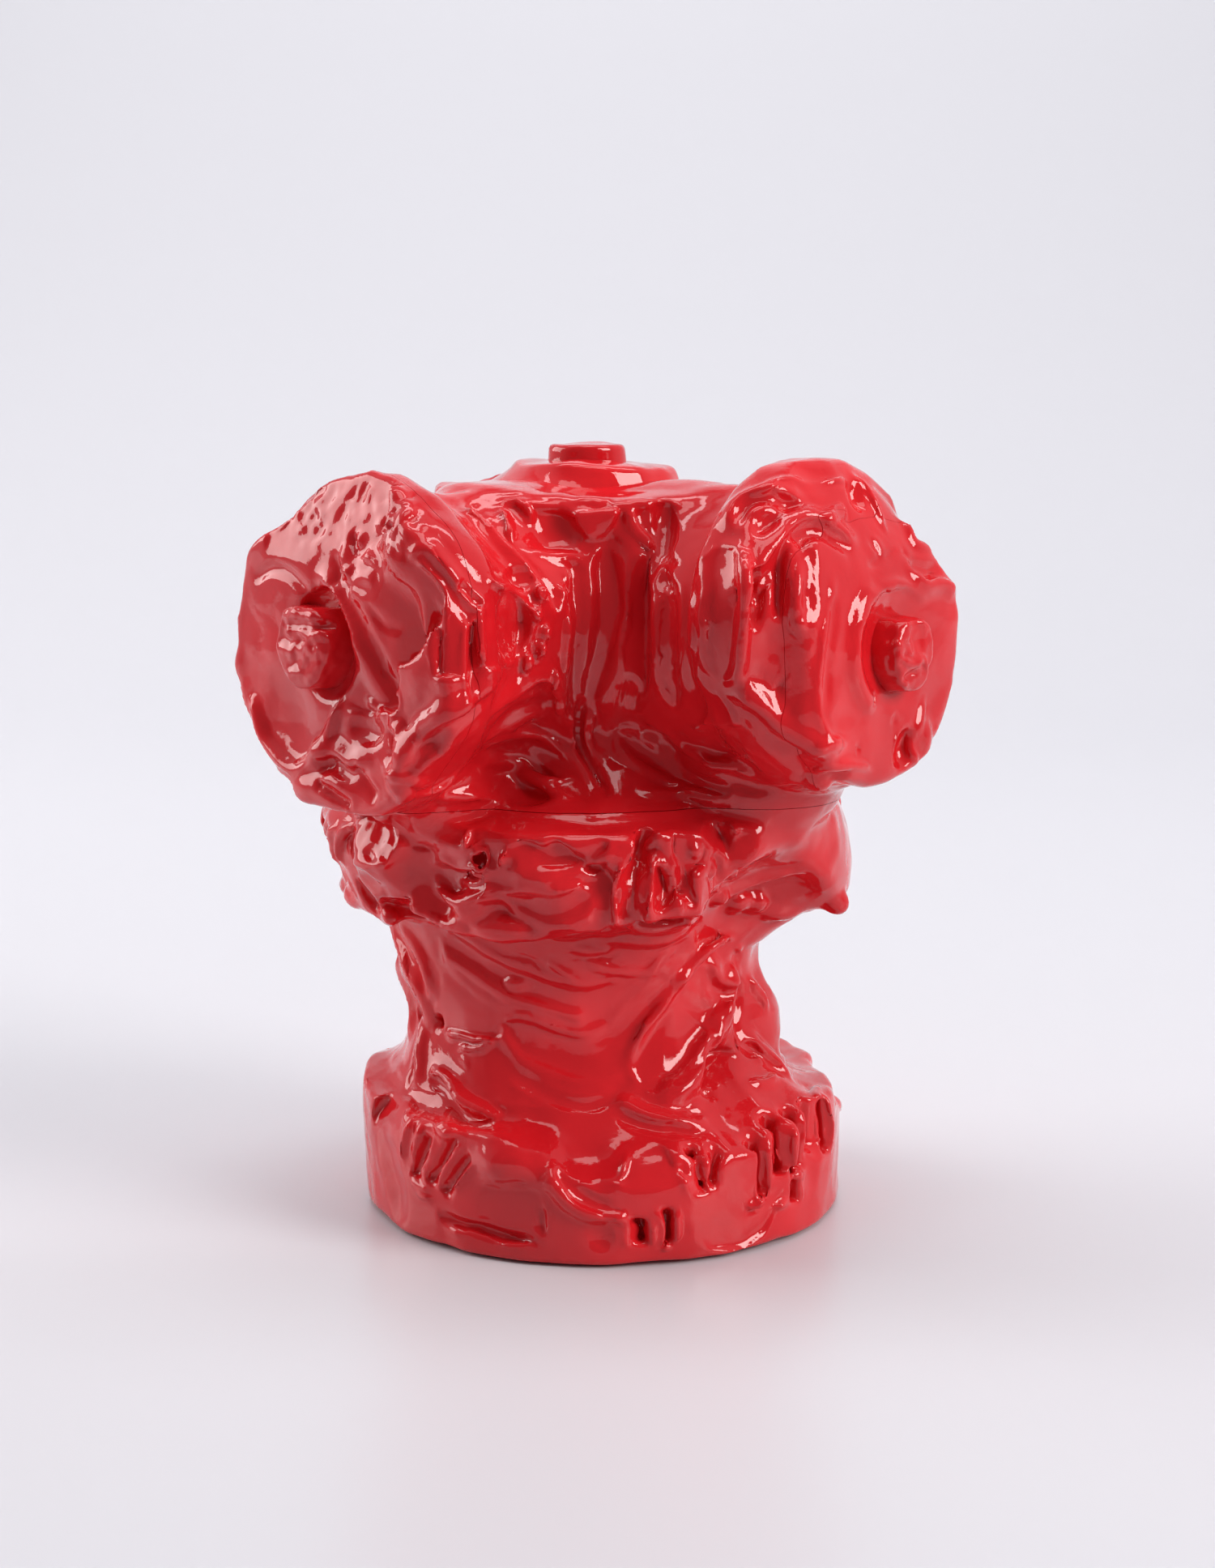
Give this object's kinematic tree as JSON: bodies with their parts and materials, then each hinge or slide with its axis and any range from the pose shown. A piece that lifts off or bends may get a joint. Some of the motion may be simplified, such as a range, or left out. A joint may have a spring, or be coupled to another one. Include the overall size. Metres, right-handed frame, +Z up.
{
  "type": "vinyl art toy",
  "caption": "Hand-modelled hydrant figure in glossy red vinyl, with a turning head, turning outlet caps and a weighted drum base.",
  "frame": {"origin": "centre of the base's underside, on the table", "axes": "+Z up along the head's turning axis, -Y out of the front between the two outlets, +X to the right outlet"},
  "size_m": [0.2613, 0.2222, 0.3],
  "materials": {
    "red_vinyl": "gloss",
    "black_abs": "satin",
    "steel": "zinc plated",
    "felt": "matte"
  },
  "bodies": {
    "stand": {"felt_pad": "felt", "base_plate": "black_abs", "ballast_disc": "steel", "ballast_screws": "steel", "base_shell": "red_vinyl", "column_shell": "red_vinyl", "band_shell": "red_vinyl", "neck_socket": "black_abs"},
    "head": {"head_shell": "red_vinyl", "neck_plug": "black_abs", "left_cap_socket": "black_abs", "right_cap_socket": "black_abs", "crown_cover": "red_vinyl", "crown_nut": "red_vinyl"},
    "left_cap": {"left_cap_shell": "red_vinyl", "left_cap_plug": "black_abs", "left_cap_nut": "red_vinyl"},
    "right_cap": {"right_cap_shell": "red_vinyl", "right_cap_plug": "black_abs", "right_cap_nut": "red_vinyl"}
  },
  "joints": [
    {"name": "head_turn", "type": "hinge", "parent": "stand", "child": "head", "pos_m": [0, 0, 0.17], "axis": [0, 0, 1], "continuous": true},
    {"name": "left_cap_turn", "type": "hinge", "parent": "head", "child": "left_cap", "pos_m": [-0.08191, -0.07638, 0.233], "axis": [-0.7314, -0.682, 0], "continuous": true},
    {"name": "right_cap_turn", "type": "hinge", "parent": "head", "child": "right_cap", "pos_m": [0.09481, -0.07678, 0.233], "axis": [0.7771, -0.6293, 0], "continuous": true}
  ]
}
